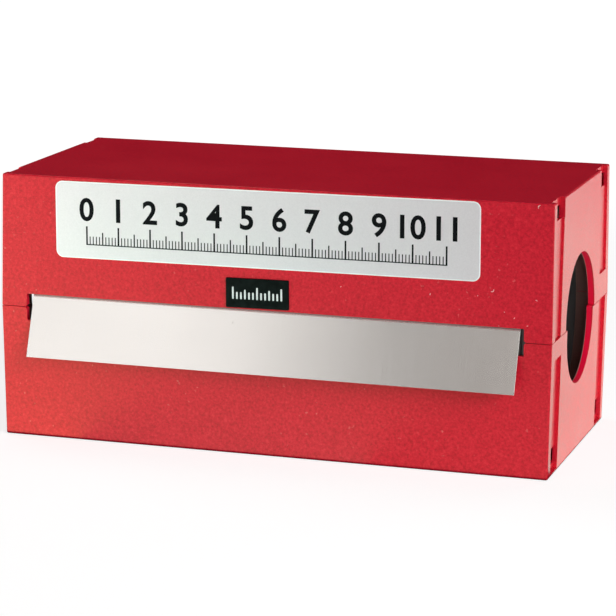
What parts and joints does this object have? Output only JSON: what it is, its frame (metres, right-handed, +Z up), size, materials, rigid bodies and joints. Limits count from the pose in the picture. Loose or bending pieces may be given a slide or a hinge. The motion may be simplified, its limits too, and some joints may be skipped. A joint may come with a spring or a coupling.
{
  "type": "shim stock roll in dispenser box",
  "caption": "Coil of thin plain steel shim foil in a red split moulded dispenser box, its free end drawn out of the front slot, with end openings, a front label and a thickness tag.",
  "frame": {"origin": "middle of the box's underside, on the surface that it stands on", "axes": "+X along the box and the foil's width, to the right seen from the front; -Y is the front with the slot; +Z up"},
  "size_m": [0.169, 0.0798, 0.08],
  "materials": {
    "box_plastic": "fine-grained semi-gloss red moulding",
    "foil_steel": "bright cold-rolled, fine rolling lines across the box",
    "label_face": "silver-grey satin film with a white edge",
    "tag_tape": "black embossing tape, semi-gloss"
  },
  "bodies": {
    "root": {"upper_shell": "box_plastic", "lower_shell": "box_plastic", "foil_roll": "foil_steel", "front_label": "label_face", "thickness_tag": "tag_tape"}
  },
  "joints": []
}
